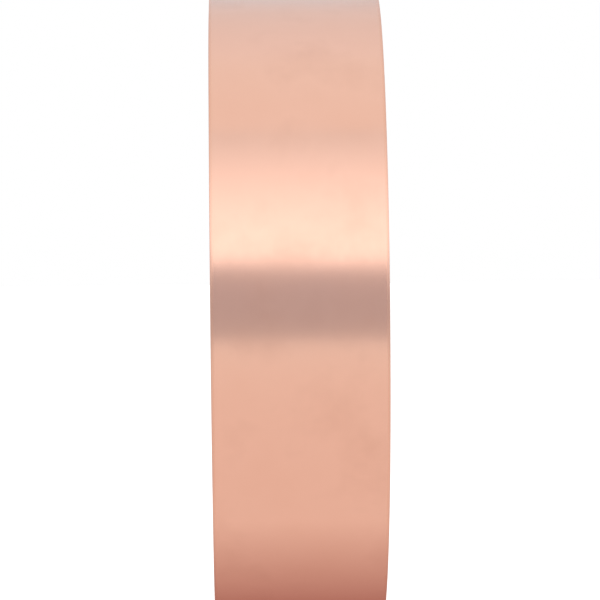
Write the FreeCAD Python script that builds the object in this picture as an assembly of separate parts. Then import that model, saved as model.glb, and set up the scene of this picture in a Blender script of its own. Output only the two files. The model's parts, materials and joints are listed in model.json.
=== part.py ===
"""Roll of lined copper foil tape on a spiral-wound paperboard core.

The roll's axis is Y, Z is up and the origin is the middle of the bore. In the section across the axis an angle
runs from +X towards +Z. The tape is one laminate of foil, adhesive and release liner. It starts on the core, goes
round it turn on turn with the liner inside and the foil outside, and ends in a tail that a clear tab holds down.
Each layer of the wound tape is one solid as long as the real strip. All sizes are in millimetres.
"""

import FreeCAD, Part
import math
import os

# Tape: the slit width, and the layers from the inside of the roll outwards.
TAPE_WIDTH = 25.4
LINER_THICKNESS = 0.0445
ADHESIVE_THICKNESS = 0.0254
FOIL_THICKNESS = 0.0254
WINDING_AIR = 0.002
TURNS = 65

# Core: paper plies glued one over the other, each wound as a helical strip whose edges meet in a butt seam.
BORE_DIAMETER = 76.2
FACING_PLY_THICKNESS = 0.4
BODY_PLY_THICKNESS = 0.425
BODY_PLIES = 4
PLY_STRIP_WIDTH = 100.0
SEAM_GAP = 0.25
FIRST_SEAM_ANGLE = 200.0
SEAM_STAGGER = 75.0

# Double-sided strip that holds the first of the liner on the core.
START_TAPE_THICKNESS = 0.06
START_TAPE_LENGTH = 15.0

# Tail: the free end of the tape, from the line where it lifts off the roll.
TAIL_ROOT_ANGLE = 100.0
TAIL_LENGTH = 44.0
TAIL_SPRING = 0.3
ROOT_CLEARANCE = 0.02
LINER_FLAP_LENGTH = 16.0
FLAP_CLEARANCE = 0.005

# Closure tab: clear film across the end of the tail.
TAB_THICKNESS = 0.05
TAB_WIDTH = 14.0
TAB_ON_TAIL = 9.0
TAB_ON_ROLL = 9.0
TAB_RAMP = 1.5
TAB_CLEARANCE = 0.015

# Worked out from the sizes above. The core is cut flush with the tape.
CORE_LENGTH = TAPE_WIDTH
WINDING_PITCH = LINER_THICKNESS + ADHESIVE_THICKNESS + FOIL_THICKNESS + WINDING_AIR
BORE_RADIUS = BORE_DIAMETER / 2
CORE_WALL = 2 * FACING_PLY_THICKNESS + BODY_PLIES * BODY_PLY_THICKNESS
CORE_RADIUS = BORE_RADIUS + CORE_WALL
FIRST_TURN_RADIUS = CORE_RADIUS + START_TAPE_THICKNESS
TAIL_RADIUS = FIRST_TURN_RADIUS + TURNS * WINDING_PITCH

# Each layer of the tape as its inner and outer offset from the inside of its turn.
LINER = (0.0, LINER_THICKNESS)
ADHESIVE = (LINER[1], LINER[1] + ADHESIVE_THICKNESS)
FOIL = (ADHESIVE[1], ADHESIVE[1] + FOIL_THICKNESS)
FLAP = (LINER[0] - FLAP_CLEARANCE, LINER[1] - FLAP_CLEARANCE)

AXIS = FreeCAD.Vector(0, 1, 0)
ORIGIN = FreeCAD.Vector(0, 0, 0)


def point(centre_x, radius, angle):
    """The point of a circle in the section, with its centre on X and the angle in radians."""
    return FreeCAD.Vector(centre_x + radius * math.cos(angle), 0, radius * math.sin(angle))


def arc(centre_x, radius, start, end):
    """The edge along that circle between two angles."""
    ends = [point(centre_x, radius, angle) for angle in (start, (start + end) / 2, end)]
    return Part.Arc(*ends).toShape()


def band(inner, outer, width):
    """A sheet on edge: the section between two chains of edges that run the same way, as wide as given along Y.

    It is drawn with the tail's root on X, and turned to where that root is.
    """
    start = Part.makeLine(inner[0].firstVertex(True).Point, outer[0].firstVertex(True).Point)
    end = Part.makeLine(inner[-1].lastVertex(True).Point, outer[-1].lastVertex(True).Point)
    loop = Part.Wire(Part.__sortEdges__([*inner, end, *reversed(outer), start]))
    sheet = Part.Face(loop).extrude(AXIS * width)
    sheet.translate(AXIS * (-width / 2))
    sheet.rotate(ORIGIN, AXIS, -TAIL_ROOT_ANGLE)
    return sheet


def spiral(offset, first_half_turn, last_half_turn):
    """The edges of a wound face. Half turns about two centres half a pitch apart grow by one pitch a turn."""
    edges = []
    for half_turn in range(first_half_turn, last_half_turn):
        lower_half = half_turn % 2
        radius = FIRST_TURN_RADIUS + half_turn * WINDING_PITCH / 2 + offset
        start = lower_half * math.pi
        edges.append(arc(lower_half * WINDING_PITCH / 2, radius, start, start + math.pi))
    return edges


def wound(layer, first_turn, last_turn):
    """One layer of the tape from one turn to another, as one strip."""
    inner, outer = (spiral(offset, 2 * first_turn, 2 * last_turn) for offset in layer)
    return band(inner, outer, TAPE_WIDTH)


def tail_angle(length):
    """The angle that a length of the tail spans, from its root."""
    return length / TAIL_RADIUS


def tail_arc(offset, start, end):
    """An edge along the tail between two lengths from its root. It leaves the roll at a tangent and springs clear."""
    radius = TAIL_RADIUS + TAIL_SPRING + offset
    return arc(-TAIL_SPRING, radius, tail_angle(start), tail_angle(end))


def tail(layer, start, end):
    """One layer of the tail between two lengths from its root."""
    inner, outer = ([tail_arc(offset, start, end)] for offset in layer)
    return band(inner, outer, TAPE_WIDTH)


def closure_tab():
    """Clear film that lies on the end of the tail, steps down over its edge and lies on the turn below."""
    lands = TAIL_LENGTH + TAB_RAMP
    turn_below = TAIL_RADIUS - WINDING_PITCH + FOIL[1]
    faces = []
    for height in (TAB_CLEARANCE, TAB_CLEARANCE + TAB_THICKNESS):
        on_tail = tail_arc(FOIL[1] + height, TAIL_LENGTH - TAB_ON_TAIL, TAIL_LENGTH + TAB_CLEARANCE)
        on_roll = arc(0, turn_below + height, tail_angle(lands), tail_angle(TAIL_LENGTH + TAB_ON_ROLL))
        ramp = Part.makeLine(on_tail.lastVertex(True).Point, on_roll.firstVertex(True).Point)
        faces.append([on_tail, ramp, on_roll])
    return band(*faces, TAB_WIDTH)


def start_tape():
    """The strip between the core and the first of the liner."""
    span = START_TAPE_LENGTH / CORE_RADIUS
    return band([arc(0, CORE_RADIUS, 0, span)], [arc(0, FIRST_TURN_RADIUS, 0, span)], TAPE_WIDTH)


def seam(inner_radius, thickness, angle):
    """What a butt seam leaves out of a ply: a helical cut right through it, at an angle where it crosses the middle."""
    radius = inner_radius + thickness / 2
    circumference = 2 * math.pi * radius
    slope = math.asin(PLY_STRIP_WIDTH / circumference)
    lead = circumference * math.tan(slope)
    height = CORE_LENGTH + 2 * thickness + 4 * SEAM_GAP
    depth = 3 * thickness
    helix = Part.makeHelix(lead, height, radius)
    across = FreeCAD.Vector(0, -math.sin(slope), math.cos(slope)) * (SEAM_GAP / 2)
    inwards = FreeCAD.Vector(depth / 2, 0, 0)
    centre = FreeCAD.Vector(radius, 0, 0)
    corners = [centre - inwards - across, centre + inwards - across]
    corners += [centre + inwards + across, centre - inwards + across]
    profile = Part.makePolygon([*corners, corners[0]])
    cut = Part.Wire(helix.Edges).makePipeShell([profile], True, True)
    cut.translate(FreeCAD.Vector(0, 0, -height / 2))
    cut.rotate(ORIGIN, FreeCAD.Vector(0, 0, 1), -180 * height / lead)
    cut.rotate(ORIGIN, FreeCAD.Vector(1, 0, 0), -90)
    cut.rotate(ORIGIN, AXIS, -angle)
    return cut


def ply(inner_radius, thickness, angle):
    """One paper ply of the core, open along its seam."""
    foot = AXIS * (-CORE_LENGTH / 2)
    whole = Part.makeCylinder(inner_radius + thickness, CORE_LENGTH, foot, AXIS)
    bore = Part.makeCylinder(inner_radius, CORE_LENGTH, foot, AXIS)
    return whole.cut(bore).cut(seam(inner_radius, thickness, angle))


def core():
    """The core's plies by name, from the bore outwards. Each seam is staggered from the one under it."""
    names = ["core_bore_ply", *(f"core_body_ply_{n + 1}" for n in range(BODY_PLIES)), "core_outer_ply"]
    plies = {}
    radius = BORE_RADIUS
    for number, name in enumerate(names):
        thickness = BODY_PLY_THICKNESS if "body" in name else FACING_PLY_THICKNESS
        plies[name] = ply(radius, thickness, FIRST_SEAM_ANGLE + number * SEAM_STAGGER)
        radius += thickness
    return plies


def wound_tape():
    """The layers from the core to the tail's root. The last turn of the foil is a piece of its own."""
    return {
        "liner_strip": wound(LINER, 0, TURNS),
        "adhesive_strip": wound(ADHESIVE, 0, TURNS),
        "foil_strip": wound(FOIL, 0, TURNS - 1),
        "foil_outer_turn": wound(FOIL, TURNS - 1, TURNS),
    }


def free_end():
    """The tail's layers. The end of its liner is a flap that peels off the adhesive."""
    flap_starts = TAIL_LENGTH - LINER_FLAP_LENGTH
    return {
        "tail_foil": tail(FOIL, ROOT_CLEARANCE, TAIL_LENGTH),
        "tail_adhesive": tail(ADHESIVE, ROOT_CLEARANCE, TAIL_LENGTH),
        "tail_liner": tail(LINER, ROOT_CLEARANCE, flap_starts - ROOT_CLEARANCE),
        "liner_flap": tail(FLAP, flap_starts, TAIL_LENGTH),
        "closure_tab": closure_tab(),
    }


def main():
    os.makedirs("parts", exist_ok=True)
    pieces = {**core(), "start_tape": start_tape(), **wound_tape(), **free_end()}
    for name, shape in pieces.items():
        shape.exportStep(f"parts/{name}.step")
        print(f"{name:18s} {len(shape.Solids)} solid, {shape.Volume:9.1f} mm3")


main()
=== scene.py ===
"""The looks of a roll of copper foil tape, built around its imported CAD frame. Lengths are in metres."""

import json
import math

import bpy
import numpy as np
from mathutils import Matrix, Vector

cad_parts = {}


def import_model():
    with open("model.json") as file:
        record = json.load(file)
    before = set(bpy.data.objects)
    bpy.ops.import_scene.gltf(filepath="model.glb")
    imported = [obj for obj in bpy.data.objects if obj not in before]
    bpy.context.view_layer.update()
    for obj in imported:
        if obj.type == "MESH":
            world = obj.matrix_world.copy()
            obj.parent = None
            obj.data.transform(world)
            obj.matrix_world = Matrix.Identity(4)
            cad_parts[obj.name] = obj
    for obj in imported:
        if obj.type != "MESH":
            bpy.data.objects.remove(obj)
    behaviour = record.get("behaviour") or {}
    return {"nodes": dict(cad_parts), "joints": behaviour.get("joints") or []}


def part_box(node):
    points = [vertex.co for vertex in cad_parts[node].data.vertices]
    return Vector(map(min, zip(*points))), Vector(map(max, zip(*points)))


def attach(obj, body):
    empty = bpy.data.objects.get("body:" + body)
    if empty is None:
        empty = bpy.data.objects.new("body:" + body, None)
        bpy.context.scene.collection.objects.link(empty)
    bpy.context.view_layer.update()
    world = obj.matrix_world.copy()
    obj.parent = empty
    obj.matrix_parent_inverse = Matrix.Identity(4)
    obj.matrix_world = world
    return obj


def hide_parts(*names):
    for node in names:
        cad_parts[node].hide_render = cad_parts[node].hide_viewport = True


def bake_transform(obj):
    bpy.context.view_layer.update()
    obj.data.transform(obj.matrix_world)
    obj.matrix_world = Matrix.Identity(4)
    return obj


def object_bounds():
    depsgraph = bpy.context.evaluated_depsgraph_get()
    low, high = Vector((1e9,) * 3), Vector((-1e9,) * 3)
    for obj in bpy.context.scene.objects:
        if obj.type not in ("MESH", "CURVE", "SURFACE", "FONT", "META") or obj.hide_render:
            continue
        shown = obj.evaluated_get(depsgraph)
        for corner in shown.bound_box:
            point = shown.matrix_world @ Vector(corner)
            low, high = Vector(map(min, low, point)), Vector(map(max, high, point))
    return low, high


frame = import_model()
cad_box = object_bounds()

MM = 0.001

# The tape's layers from the inside of a turn outwards, and the pitch of the winding.
LINER = (0.0, 0.0445 * MM)
ADHESIVE = (LINER[1], LINER[1] + 0.0254 * MM)
FOIL = (ADHESIVE[1], ADHESIVE[1] + 0.0254 * MM)
PITCH = FOIL[1] + 0.002 * MM
START_TAPE = 0.06 * MM

# The free end, as lengths from the line where it leaves the roll.
TAIL_LENGTH = 44 * MM
TAIL_SPRING = 0.3 * MM
FLAP_STARTS = 28 * MM
FLAP_DROP = 0.005 * MM
TAB_STARTS = 35 * MM
TAB_ENDS = 53 * MM
TAB_RAMP = 1.5 * MM
TAB_WIDTH = 14 * MM
TAB_THICKNESS = 0.05 * MM
TAB_CLEARANCE = 0.015 * MM
TAB_CORNER = 1.6 * MM

# How much of each moving strip bends next to its hinge.
TAIL_BEND = 4 * MM
FLAP_BEND = 3 * MM

# How far the tape strays: the winder's drifts and steps, the slit edges, and the last turn's waves.
DRIFT = 0.13 * MM
STEP = 0.06 * MM
SLIT = 0.02 * MM
WAVE = 0.014 * MM

# The roll, from the frame.
joints = {joint["name"]: joint for joint in frame["joints"]}
root_point = joints["tail_lift"]["pos_m"]
ROOT_ANGLE = math.atan2(root_point[2], root_point[0])
TAIL_RADIUS = math.hypot(root_point[0], root_point[2]) - FOIL[1]
core_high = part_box("core_outer_ply")[1]
FIRST_RADIUS = core_high[0] + START_TAPE
HALF_WIDTH = core_high[1]
TURNS = round((TAIL_RADIUS - FIRST_RADIUS) / PITCH)
FLOOR = cad_box[0][2]

random = np.random.default_rng(11)


# Shapes

def turned(x, z):
    """Section coordinates with the tail's root on X, turned to where that root is."""
    c, s = math.cos(ROOT_ANGLE), math.sin(ROOT_ANGLE)
    return c * x - s * z, s * x + c * z


def spiral(angle, offset):
    """Where the wound tape is by angle of winding: half turns about two centres, half a pitch apart."""
    half_turn = np.floor(angle / math.pi + 1e-9)
    half_turn = np.minimum(half_turn, 2 * TURNS - 1)
    radius = FIRST_RADIUS + half_turn * PITCH / 2 + offset
    centre = (half_turn % 2) * PITCH / 2
    return turned(centre + radius * np.cos(angle), radius * np.sin(angle))


def tail_curve(length, offset):
    """Where the tail is at a length from its root."""
    angle = length / TAIL_RADIUS
    radius = TAIL_RADIUS + TAIL_SPRING + offset
    return turned(radius * np.cos(angle) - TAIL_SPRING, radius * np.sin(angle))


def tab_curve(length, height):
    """Where the closure tab is: on the tail, down its end, and on the turn below."""
    on_x, on_z = tail_curve(np.minimum(length, TAIL_LENGTH + TAB_CLEARANCE), FOIL[1] + height)
    angle = np.maximum(length, TAIL_LENGTH + TAB_RAMP) / TAIL_RADIUS
    below = TAIL_RADIUS - PITCH + FOIL[1] + height
    off_x, off_z = turned(below * np.cos(angle), below * np.sin(angle))
    ease = smooth_step(np.clip((length - TAIL_LENGTH - TAB_CLEARANCE) / (TAB_RAMP - TAB_CLEARANCE), 0, 1))
    return on_x + (off_x - on_x) * ease, on_z + (off_z - on_z) * ease


def band(name, inner, outer, across):
    """A thin closed solid between two curves or surfaces, given as X and Z by station, with rows in Y."""
    stations, rows = across.shape
    grids = []
    for x, z in (outer, inner):
        x, z = (np.broadcast_to(v if v.ndim == 2 else v[:, None], across.shape) for v in (x, z))
        grids.append(np.stack([x, across, z], axis=-1).reshape(-1, 3))
    points = np.concatenate(grids)
    index = np.arange(stations * rows).reshape(stations, rows)
    under = index + stations * rows
    faces = [quads(index[:-1, :-1], index[:-1, 1:], index[1:, 1:], index[1:, :-1])]
    faces.append(quads(under[:-1, :-1], under[1:, :-1], under[1:, 1:], under[:-1, 1:]))
    faces.append(quads(index[:-1, 0], index[1:, 0], under[1:, 0], under[:-1, 0]))
    faces.append(quads(index[1:, -1], index[:-1, -1], under[:-1, -1], under[1:, -1]))
    faces.append(quads(index[0, 1:], index[0, :-1], under[0, :-1], under[0, 1:]))
    faces.append(quads(index[-1, :-1], index[-1, 1:], under[-1, 1:], under[-1, :-1]))
    return mesh_object(name, points, np.concatenate(faces))


def quads(a, b, c, d):
    """Four arrays of point numbers as a list of four-sided faces."""
    return np.stack([a.ravel(), b.ravel(), c.ravel(), d.ravel()], axis=-1)


def mesh_object(name, points, faces):
    """An object from points and faces, smooth but for its edges."""
    mesh = bpy.data.meshes.new(name)
    mesh.from_pydata(points.tolist(), [], faces.tolist())
    mesh.shade_smooth()
    mesh.set_sharp_from_angle(angle=math.radians(40))
    mesh.update()
    piece = bpy.data.objects.new(name, mesh)
    bpy.context.collection.objects.link(piece)
    return piece


def smooth_step(t):
    """Eased from 0 to 1."""
    return t * t * (3 - 2 * t)


def smooth_noise(count, knots):
    """A gentle random curve between 0 and 1."""
    values = random.random(knots)
    at = np.linspace(0, knots - 1, count)
    left = np.minimum(at.astype(int), knots - 2)
    ease = smooth_step(at - left)
    return values[left] * (1 - ease) + values[left + 1] * ease


def winding_wander():
    """How far the tape lies to one side, by angle of winding. It comes true over the last two turns."""
    count = 24 * TURNS + 1
    angle = np.linspace(0, 2 * math.pi * TURNS, count)
    drift = DRIFT * (smooth_noise(count, TURNS // 3) - 0.5)
    step = STEP * (smooth_noise(count, 2 * TURNS) - 0.5)
    turns_left = TURNS - angle / (2 * math.pi)
    return angle, (drift + step) * np.clip(turns_left / 2, 0, 1)


WANDER = winding_wander()


# Materials

class Nodes:
    """A short way to write a node tree."""

    def __init__(self, name):
        self.material = bpy.data.materials.new(name)
        self.material.use_nodes = True
        self.tree = self.material.node_tree
        self.shader = self.tree.nodes["Principled BSDF"]

    def add(self, kind, inputs=None, **settings):
        node = self.tree.nodes.new(kind)
        for key, value in settings.items():
            setattr(node, key, value)
        for key, value in (inputs or {}).items():
            self.put(value, node.inputs[key])
        return node

    def put(self, value, socket):
        if isinstance(value, bpy.types.NodeSocket):
            self.tree.links.new(value, socket)
        else:
            socket.default_value = value

    def math(self, operation, *values):
        node = self.add("ShaderNodeMath", operation=operation)
        for value, socket in zip(values, node.inputs):
            self.put(value, socket)
        return node.outputs[0]

    def noise(self, vector, scale, detail=3.0, roughness=0.5):
        settings = {"Vector": vector, "Scale": scale, "Detail": detail, "Roughness": roughness}
        return self.add("ShaderNodeTexNoise", settings).outputs["Fac"]

    def ramp(self, value, low, high, start=0.0, end=1.0):
        """Value mapped from start..end to low..high, and held there."""
        settings = {"Value": value, "From Min": start, "From Max": end, "To Min": low, "To Max": high}
        return self.add("ShaderNodeMapRange", settings).outputs[0]

    def colours(self, value, *stops):
        """A colour ramp from pairs of a position and a colour."""
        node = self.add("ShaderNodeValToRGB", {"Fac": value})
        elements = node.color_ramp.elements
        while len(elements) < len(stops):
            elements.new(0.5)
        for element, (position, colour) in zip(elements, stops):
            element.position = position
            element.color = (*colour, 1)
        return node.outputs["Color"]

    def mix(self, factor, a, b):
        node = self.add("ShaderNodeMix", data_type="RGBA")
        self.put(factor, node.inputs["Factor"])
        self.put(a, node.inputs[6])
        self.put(b, node.inputs[7])
        return node.outputs[2]

    def bump(self, height, strength, distance):
        settings = {"Height": height, "Strength": strength, "Distance": distance}
        return self.add("ShaderNodeBump", settings).outputs["Normal"]

    def point(self):
        """The point on the object."""
        return self.add("ShaderNodeTexCoord").outputs["Object"]

    def round_the_roll(self, point):
        """A point's place across the tape, its angle round the roll, and its radius."""
        x, y, z = self.add("ShaderNodeSeparateXYZ", {"Vector": point}).outputs
        squares = self.math("ADD", self.math("MULTIPLY", x, x), self.math("MULTIPLY", z, z))
        return y, self.math("ARCTAN2", z, x), self.math("SQRT", squares)

    def unrolled(self, across, along, out):
        """A place to look up a texture, as if the roll were laid out flat."""
        return self.add("ShaderNodeCombineXYZ", {"X": across, "Y": along, "Z": out}).outputs[0]

    def ring_tone_and_shade(self, radius, amount):
        """Rings a few turns wide, from 0 to an amount: partly the tape's own tone where it was slit or
        wound differently, partly painted shade of turn edges that stand proud or back.
        """
        out = self.math("MULTIPLY", radius, 1100.0)
        bands = self.noise(self.unrolled(0.0, 0.0, out), 1.0, 4.0, 0.65)
        return self.ramp(bands, 0.0, amount, 0.42, 0.6)


COPPER_TARNISH_AND_SHADE = (0.66, 0.33, 0.22, 1)
COPPER_DUST_AND_SHADE = (0.50, 0.31, 0.22, 1)


def copper_material(name, tarnish, roughness, rings=0.0):
    """Rolled copper foil: fine rolling lines, faint clouding, duller slit edges, and rings where wound,
    partly tarnish and partly painted shade of turn edges that stand proud or back.
    """
    n = Nodes(name)
    point = n.point()
    across, angle, radius = n.round_the_roll(point)
    around = n.math("COSINE", angle)
    lines_at = n.unrolled(n.math("MULTIPLY", across, 9000.0), n.math("MULTIPLY", around, 5.0), 0.0)
    lines = n.noise(lines_at, 1.0, 2.0)
    clouds = n.noise(point, 70.0, 4.0, 0.6)
    specks = n.noise(point, 2600.0, 2.0)
    edge = n.ramp(n.math("ABSOLUTE", across), 0.0, 1.0, HALF_WIDTH - 0.5 * MM, HALF_WIDTH)
    clean = n.colours(clouds, (0.3, (0.92, 0.535, 0.405)), (0.7, (0.945, 0.56, 0.43)))
    dull_and_shade = n.math("MULTIPLY", n.ramp(clouds, 0.0, 1.0, 0.5, 0.75), tarnish)
    dull_and_shade = n.math("MAXIMUM", dull_and_shade, n.math("MULTIPLY", edge, 0.35))
    # Bands of turns darkened towards tarnished copper: partly tarnish, partly painted shade of turn edges
    # that stand proud or back.
    dull_and_shade = n.math("ADD", dull_and_shade, n.ring_tone_and_shade(radius, rings))
    colour = n.mix(dull_and_shade, clean, COPPER_TARNISH_AND_SHADE)
    n.put(colour, n.shader.inputs["Base Color"])
    rough = n.math("ADD", roughness, n.ramp(lines, -0.03, 0.04, 0.3, 0.7))
    rough = n.math("ADD", rough, n.ramp(clouds, -0.02, 0.04, 0.3, 0.7))
    n.put(n.math("ADD", rough, n.math("MULTIPLY", edge, 0.12)), n.shader.inputs["Roughness"])
    height = n.math("ADD", lines, n.math("MULTIPLY", specks, 0.3))
    n.put(n.bump(height, 0.12, 0.004 * MM), n.shader.inputs["Normal"])
    n.shader.inputs["Metallic"].default_value = 1.0
    return n.material


def paper_material(name, light, dark, roughness, grain, relief, plies=None, dust_and_ring_shade=0.0):
    """Paper and board: fibres over a fine tooth, uneven in colour.

    In board, every second ply is darker and glue lines lie between. Wound paper gets bands of turns tinted
    copper, partly copper dusting and partly painted shade of turn edges that stand proud or back.
    """
    n = Nodes(name)
    point = n.point()
    across, angle, radius = n.round_the_roll(point)
    along = n.math("MULTIPLY", angle, radius)
    lie = n.unrolled(across, n.math("MULTIPLY", along, 0.25), n.math("MULTIPLY", radius, 1.5))
    fibres = n.noise(lie, grain, 6.0, 0.62)
    tooth = n.noise(point, grain * 4, 3.0)
    patches = n.noise(point, grain * 0.06, 3.0)
    shade = n.math("ADD", n.math("MULTIPLY", fibres, 0.65), n.math("MULTIPLY", patches, 0.35))
    colour = n.colours(shade, (0.32, dark), (0.66, light))
    if plies:
        inside, thickness = plies
        turn = n.math("DIVIDE", n.math("SUBTRACT", radius, inside), thickness)
        from_face = n.math("PINGPONG", turn, 0.5)
        second_ply = n.math("MULTIPLY", n.math("MODULO", n.math("FLOOR", turn), 2.0), 0.3)
        glue_line = n.ramp(from_face, 0.8, 0.0, 0.04, 0.2)
        glue = tuple(0.45 * channel for channel in dark) + (1,)
        colour = n.mix(n.math("MAXIMUM", second_ply, glue_line), colour, glue)
    if dust_and_ring_shade:
        # Bands of turns tinted copper: partly copper dusting, partly painted shade of turn edges that
        # stand proud or back.
        colour = n.mix(n.ring_tone_and_shade(radius, dust_and_ring_shade), colour, COPPER_DUST_AND_SHADE)
    n.put(colour, n.shader.inputs["Base Color"])
    n.put(n.math("ADD", roughness, n.ramp(tooth, -0.06, 0.06)), n.shader.inputs["Roughness"])
    height = n.math("ADD", fibres, n.math("MULTIPLY", tooth, 0.5))
    n.put(n.bump(height, 0.45, relief), n.shader.inputs["Normal"])
    n.shader.inputs["Specular IOR Level"].default_value = 0.35
    return n.material


def board_plies():
    """The radius inside the first body ply, and a body ply's thickness."""
    inside, outside = (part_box(name)[1][0] for name in ("core_bore_ply", "core_body_ply_1"))
    return inside, outside - inside


def adhesive_material():
    """Clear acrylic adhesive on the back of the foil: the copper shows through it, with small bubbles."""
    n = Nodes("adhesive")
    point = n.point()
    bubbles = n.noise(point, 1500.0, 3.0)
    haze = n.noise(point, 260.0, 4.0)
    colour = n.colours(haze, (0.3, (0.80, 0.54, 0.41)), (0.7, (0.86, 0.62, 0.49)))
    n.put(colour, n.shader.inputs["Base Color"])
    n.put(n.ramp(haze, 0.28, 0.42), n.shader.inputs["Roughness"])
    n.put(n.bump(bubbles, 0.3, 0.01 * MM), n.shader.inputs["Normal"])
    n.shader.inputs["Metallic"].default_value = 0.6
    n.shader.inputs["IOR"].default_value = 1.47
    return n.material


def film_material():
    """Clear film: a faint haze with a gloss, a fine drawn texture, and cut edges that catch the light."""
    n = Nodes("clear_film")
    point = n.point()
    across, angle, _ = n.round_the_roll(point)
    drawn_at = n.unrolled(n.math("MULTIPLY", across, 2500.0), n.math("MULTIPLY", angle, 12.0), 0.0)
    drawn = n.noise(drawn_at, 1.0)
    haze = n.noise(point, 400.0, 4.0)
    colour = n.colours(haze, (0.3, (0.92, 0.93, 0.92)), (0.7, (0.97, 0.98, 0.97)))
    n.put(colour, n.shader.inputs["Base Color"])
    n.put(n.ramp(haze, 0.05, 0.16), n.shader.inputs["Roughness"])
    n.put(n.bump(drawn, 0.15, 0.004 * MM), n.shader.inputs["Normal"])
    cut = n.ramp(n.math("ABSOLUTE", across), 0.0, 0.35, TAB_WIDTH / 2 - 0.25 * MM, TAB_WIDTH / 2)
    n.put(n.math("ADD", cut, n.ramp(haze, 0.12, 0.17)), n.shader.inputs["Alpha"])
    n.shader.inputs["IOR"].default_value = 1.8
    return n.material


COPPER = copper_material("copper_foil", tarnish=0.25, roughness=0.185)
COPPER_EDGE = copper_material("copper_edges", tarnish=0.5, roughness=0.36, rings=0.8)
LINER_EDGE = paper_material(
    "liner_edges", light=(0.84, 0.77, 0.68), dark=(0.74, 0.66, 0.56),
    roughness=0.6, grain=900.0, relief=0.004 * MM, dust_and_ring_shade=0.75,
)
LINER_PAPER = paper_material(
    "release_liner", light=(0.86, 0.82, 0.75), dark=(0.78, 0.73, 0.65),
    roughness=0.5, grain=900.0, relief=0.004 * MM,
)
FACING = paper_material(
    "core_facing", light=(0.56, 0.385, 0.235), dark=(0.45, 0.29, 0.165),
    roughness=0.72, grain=1400.0, relief=0.02 * MM,
)
BOARD = paper_material(
    "core_board", light=(0.46, 0.35, 0.25), dark=(0.34, 0.25, 0.17),
    roughness=0.85, grain=1700.0, relief=0.05 * MM, plies=board_plies(),
)
GLUE = adhesive_material()
FILM = film_material()


def finish_piece(piece, material, node):
    """Give a piece its material, and take the place of its CAD node."""
    piece.data.materials.append(material)
    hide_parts(node)


# The wound tape

def wound_strip(name, layer, material, back, node, turns):
    """A layer of the wound tape, as one strip. All the layers wander together, as the tape did."""
    per_turn = 128
    stations = per_turn * turns + 1
    angle = np.linspace(0, 2 * math.pi * turns, stations)
    edge = HALF_WIDTH - back - SLIT * smooth_noise(stations, 5 * turns)
    shift = np.interp(angle, *WANDER)
    across = np.stack([shift - edge, shift + edge], axis=-1)
    piece = band(name, spiral(angle, layer[0]), spiral(angle, layer[1]), across)
    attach(piece, "roll")
    finish_piece(piece, material, node)


def outer_turn():
    """The last turn of foil, which is what shows: burnished flat, with slow waves left from winding."""
    stations, rows = 721, 41
    wave_count, still_at_the_ends = 14, 0.12
    angle = np.linspace(2 * math.pi * (TURNS - 1), 2 * math.pi * TURNS, stations)
    y = np.linspace(-HALF_WIDTH, HALF_WIDTH, rows)
    across = np.broadcast_to(y, (stations, rows))
    turn = (angle - angle[0])[:, None]
    wave = np.zeros((stations, rows))
    for _ in range(wave_count):
        waves, cross = random.integers(3, 26), random.uniform(-160, 160)
        phase, size = random.uniform(0, 2 * math.pi), random.uniform(0.2, 1.0)
        wave += size / waves * np.sin(waves * turn + cross * y[None, :] + phase)
    wave = (wave - wave.min()) / (wave.max() - wave.min())
    ends = np.clip(np.minimum(turn, 2 * math.pi - turn) / still_at_the_ends, 0, 1)
    lift = WAVE * wave * ends
    inner = spiral(angle, FOIL[0])
    outer = spiral(np.broadcast_to(angle[:, None], lift.shape), FOIL[1] + lift)
    piece = band("outer_turn_foil", inner, outer, across)
    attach(piece, "roll")
    finish_piece(piece, COPPER, "foil_outer_turn")


# The free end

def bending_lengths(start, bend, end):
    """Stations along a strip from its start to its end, close together in the stretch that bends."""
    stations = 60
    bent = np.linspace(start, start + bend, stations)
    straight = np.linspace(start + bend, end, stations)
    return np.concatenate([bent, straight[1:]])


def full_width(length):
    """Rows across the whole tape at each station."""
    rows = 17
    return np.broadcast_to(np.linspace(-HALF_WIDTH, HALF_WIDTH, rows), (len(length), rows))


def tail_layer(name, layer, start, end, material, node):
    """A layer of the tail, which bends where it leaves the roll."""
    length = bending_lengths(start, TAIL_BEND, end)
    across = full_width(length)
    piece = band(name, tail_curve(length, layer[0]), tail_curve(length, layer[1]), across)
    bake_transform(piece)
    finish_piece(piece, material, node)


def liner_flap():
    """The last of the liner, which peels off the adhesive."""
    length = bending_lengths(FLAP_STARTS, FLAP_BEND, TAIL_LENGTH)
    across = full_width(length)
    layer = (LINER[0] - FLAP_DROP, LINER[1] - FLAP_DROP)
    piece = band("liner_flap_sheet", tail_curve(length, layer[0]), tail_curve(length, layer[1]), across)
    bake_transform(piece)
    finish_piece(piece, LINER_PAPER, "liner_flap")


def closure_tab():
    """Clear film with rounded corners."""
    stations, rows = 180, 21
    length = np.linspace(TAB_STARTS, TAB_ENDS, stations)
    into = np.minimum(np.minimum(length - TAB_STARTS, TAB_ENDS - length), TAB_CORNER)
    half = TAB_WIDTH / 2 - TAB_CORNER + np.sqrt(np.maximum(TAB_CORNER**2 - (TAB_CORNER - into) ** 2, 0))
    across = half[:, None] * np.linspace(-1, 1, rows)[None, :]
    inner = tab_curve(length, TAB_CLEARANCE)
    outer = tab_curve(length, TAB_CLEARANCE + TAB_THICKNESS)
    piece = band("closure_tab_film", inner, outer, across)
    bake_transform(piece)
    finish_piece(piece, FILM, "closure_tab")


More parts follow.
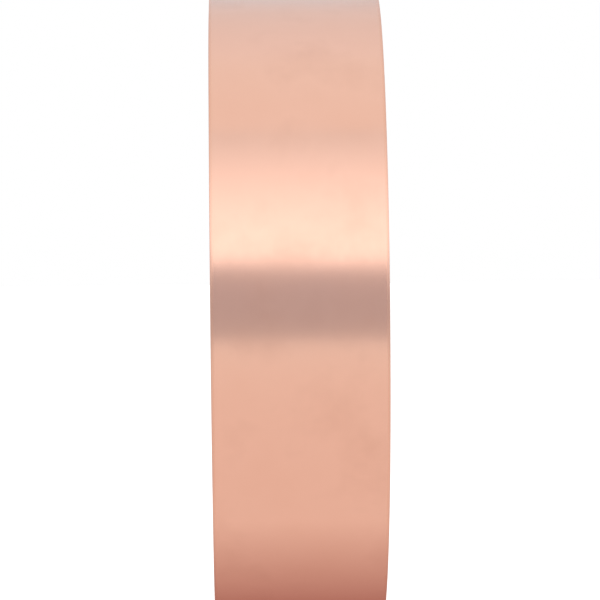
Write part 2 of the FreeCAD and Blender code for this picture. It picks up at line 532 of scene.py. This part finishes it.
def build_tape():
    """Every layer of the tape, wound and free, and the film that holds it down."""
    wound_strip("wound_liner", LINER, LINER_EDGE, 0.03 * MM, "liner_strip", TURNS)
    wound_strip("wound_adhesive", ADHESIVE, GLUE, 0.06 * MM, "adhesive_strip", TURNS)
    wound_strip("wound_foil", FOIL, COPPER_EDGE, 0.0, "foil_strip", TURNS - 1)
    outer_turn()
    tail_layer("tail_foil_sheet", FOIL, 0.0, TAIL_LENGTH, COPPER, "tail_foil")
    tail_layer("tail_adhesive_sheet", ADHESIVE, 0.0, TAIL_LENGTH, GLUE, "tail_adhesive")
    tail_layer("tail_liner_sheet", LINER, 0.0, FLAP_STARTS, LINER_PAPER, "tail_liner")
    liner_flap()
    closure_tab()


def dress_core():
    """The core's plies and the start tape keep their CAD shapes."""
    for name, node in frame["nodes"].items():
        if name.startswith("core_"):
            node.data.materials.clear()
            node.data.materials.append(BOARD if "body" in name else FACING)
        if name == "start_tape":
            node.data.materials.clear()
            node.data.materials.append(GLUE)


# The studio

def panel(name, corners):
    """A flat stage panel."""
    mesh = bpy.data.meshes.new(name)
    mesh.from_pydata(corners, [], [(0, 1, 2, 3)])
    thing = bpy.data.objects.new(name, mesh)
    bpy.context.collection.objects.link(thing)
    return thing


def white_for_seen_rays(tree, seen, lit):
    """A strength that is one value for camera, glossy and transmission rays and another for the rest."""
    path = tree.nodes.new("ShaderNodeLightPath")
    total = path.outputs["Is Camera Ray"]
    for name in ("Is Glossy Ray", "Is Transmission Ray"):
        most = tree.nodes.new("ShaderNodeMath")
        most.operation = "MAXIMUM"
        tree.links.new(total, most.inputs[0])
        tree.links.new(path.outputs[name], most.inputs[1])
        total = most.outputs[0]
    span = tree.nodes.new("ShaderNodeMapRange")
    span.inputs["To Min"].default_value = lit
    span.inputs["To Max"].default_value = seen
    tree.links.new(total, span.inputs["Value"])
    return span.outputs[0]


def world():
    """White all round, a little dimmer as light than as seen."""
    made = bpy.data.worlds.new("studio")
    bpy.context.scene.world = made
    made.use_nodes = True
    background = made.node_tree.nodes["Background"]
    background.inputs["Color"].default_value = (1, 1, 1, 1)
    strength = white_for_seen_rays(made.node_tree, seen=1.0, lit=0.72)
    made.node_tree.links.new(strength, background.inputs["Strength"])


def floor():
    """A pale floor, lifted to white where it is seen, that keeps the roll's shadow."""
    half = 4.0
    corners = [(-half, -half, FLOOR), (half, -half, FLOOR), (half, half, FLOOR), (-half, half, FLOOR)]
    thing = panel("floor", corners)
    n = Nodes("floor")
    n.put(n.ramp(n.noise(n.point(), 30.0), 0.55, 0.65), n.shader.inputs["Roughness"])
    n.shader.inputs["Base Color"].default_value = (0.74, 0.74, 0.74, 1)
    n.shader.inputs["Specular IOR Level"].default_value = 0.1
    n.shader.inputs["Emission Color"].default_value = (1, 1, 1, 1)
    strength = white_for_seen_rays(n.tree, seen=0.56, lit=0.0)
    n.put(strength, n.shader.inputs["Emission Strength"])
    thing.data.materials.append(n.material)


def card(name, start, end, start_light, end_light, slant=0.0):
    """A glowing card that only reflections see, so a painted reflection, from one X and Z to another,
    fading from one light to another.
    """
    wide = 0.7
    rise = slant * wide
    corners = [(start[0], -wide, start[1]), (end[0], -wide, end[1] + rise)]
    corners += [(end[0], wide, end[1] - rise), (start[0], wide, start[1])]
    thing = panel(name, corners)
    along = thing.data.attributes.new("along", "FLOAT", "POINT")
    along.data.foreach_set("value", [0.0, 1.0, 1.0, 0.0])
    n = Nodes(name)
    fade = n.add("ShaderNodeAttribute", attribute_name="along").outputs["Fac"]
    glow = n.add("ShaderNodeEmission", {"Color": n.mix(fade, (*start_light, 1), (*end_light, 1))})
    n.put(glow.outputs[0], n.tree.nodes["Material Output"].inputs["Surface"])
    thing.data.materials.append(n.material)
    for ray in ("camera", "diffuse", "transmission", "volume_scatter", "shadow"):
        setattr(thing, f"visible_{ray}", False)


def cards():
    """Painted reflections that the foil shows, from its contact with the floor round to behind."""
    lay = FLOOR + 0.2 * MM
    contact, contact_ends = (0.008, lay), (0.038, lay)
    grey_stands, grey_lifts = 0.26, math.radians(14.1)
    grey_foot, grey_top = (grey_stands, FLOOR), (grey_stands, grey_stands * math.tan(grey_lifts))
    grey = 0.53
    softbox_low, softbox_high = (0.495, 0.06), (0.22, 0.45)
    crown, far_behind = (-0.10, 0.55), (-1.2, 0.0)
    # Painted reflection of the floor at the roll's foot: a dark warm painted shadow where it touches, then
    # the floor ahead with a painted warm bounce from the copper.
    card("contact_shadow_reflection", contact, contact_ends, (0.38, 0.14, 0.11), (0.87, 0.79, 0.76))
    card("warm_floor_reflection", contact_ends, (grey_stands, lay), (0.85, 0.77, 0.74), (0.92, 0.94, 0.93))
    # A painted dark band in the foil's reflection at about the camera's height: a grey glowing card that
    # nothing else sees.
    grey_light = (0.98 * grey, grey, 1.05 * grey), (0.98 * grey, grey, 1.12 * grey)
    card("dark_band_reflection", grey_foot, grey_top, *grey_light, slant=0.13)
    # The softbox's painted highlight, which the softbox lamp doesn't make, and the scrims' painted
    # reflections overhead and behind.
    card("softbox_front", softbox_low, softbox_high, (1.70, 1.72, 1.74), (0.80, 0.84, 0.87))
    card("overhead_scrim", softbox_high, crown, (0.92, 0.91, 0.90), (0.90, 0.94, 0.96))
    card("rear_scrim", crown, far_behind, (0.90, 0.94, 0.98), (0.49, 0.565, 0.635))


def lamp(name, position, size, radiance):
    """A soft lamp of a given radiance, facing the roll. Reflections see the cards instead of it."""
    data = bpy.data.lights.new(name, "AREA")
    data.shape = "RECTANGLE"
    data.size, data.size_y = size
    data.energy = radiance * math.pi * size[0] * size[1]
    thing = bpy.data.objects.new(name, data)
    bpy.context.collection.objects.link(thing)
    thing.location = position
    thing.rotation_euler = (-Vector(position)).to_track_quat("-Z", "Y").to_euler()
    thing.visible_glossy = False
    thing.visible_camera = False


def lamps():
    """A softbox in front, and a soft lamp for each side face."""
    reach, lift = 0.8, math.radians(30.5)
    lamp("softbox", (reach * math.cos(lift), 0.0, reach * math.sin(lift)), (1.0, 0.44), radiance=0.5)
    lamp("side_key", (0.25, 0.9, 0.55), (0.6, 0.6), radiance=1.7)
    lamp("side_fill", (-0.4, -0.9, 0.6), (0.6, 0.6), radiance=1.7)


def right_and_up(ahead):
    """Unit vectors to the right and up of a direction."""
    right = ahead.cross(Vector((0, 0, 1))).normalized()
    return right, right.cross(ahead).normalized()


def camera():
    """A long lens square on to the rim, as far off as the roll's perspective says, tilted a little.

    It stands a little aside and up, and looks a little past the middle of the roll. Angles are in radians.
    """
    distance = 13.93 * TAIL_RADIUS
    lens, sensor = 257.76, 36.0
    aside, rise, tilt = 0.0130, math.radians(1.0), 0.0102
    pan, lift = 0.000954, 0.001234
    level = math.cos(rise)
    place = distance * Vector((math.cos(aside) * level, -math.sin(aside) * level, math.sin(rise)))
    right, up = right_and_up(-place)
    target = distance * (pan * right + lift * up)
    ahead = (target - place).normalized()
    right, up = right_and_up(ahead)
    rolled_right = right * math.cos(tilt) - up * math.sin(tilt)
    rolled_up = right * math.sin(tilt) + up * math.cos(tilt)
    data = bpy.data.cameras.new("camera")
    data.sensor_width = sensor
    data.lens = lens
    data.clip_start = 0.01
    thing = bpy.data.objects.new("camera", data)
    bpy.context.collection.objects.link(thing)
    turn = Matrix((rolled_right, rolled_up, -ahead)).transposed()
    thing.matrix_world = Matrix.Translation(place) @ turn.to_4x4()
    bpy.context.scene.camera = thing


build_tape()
dress_core()
world()
floor()
cards()
lamps()
camera()
bpy.context.scene.view_settings.view_transform = "Standard"
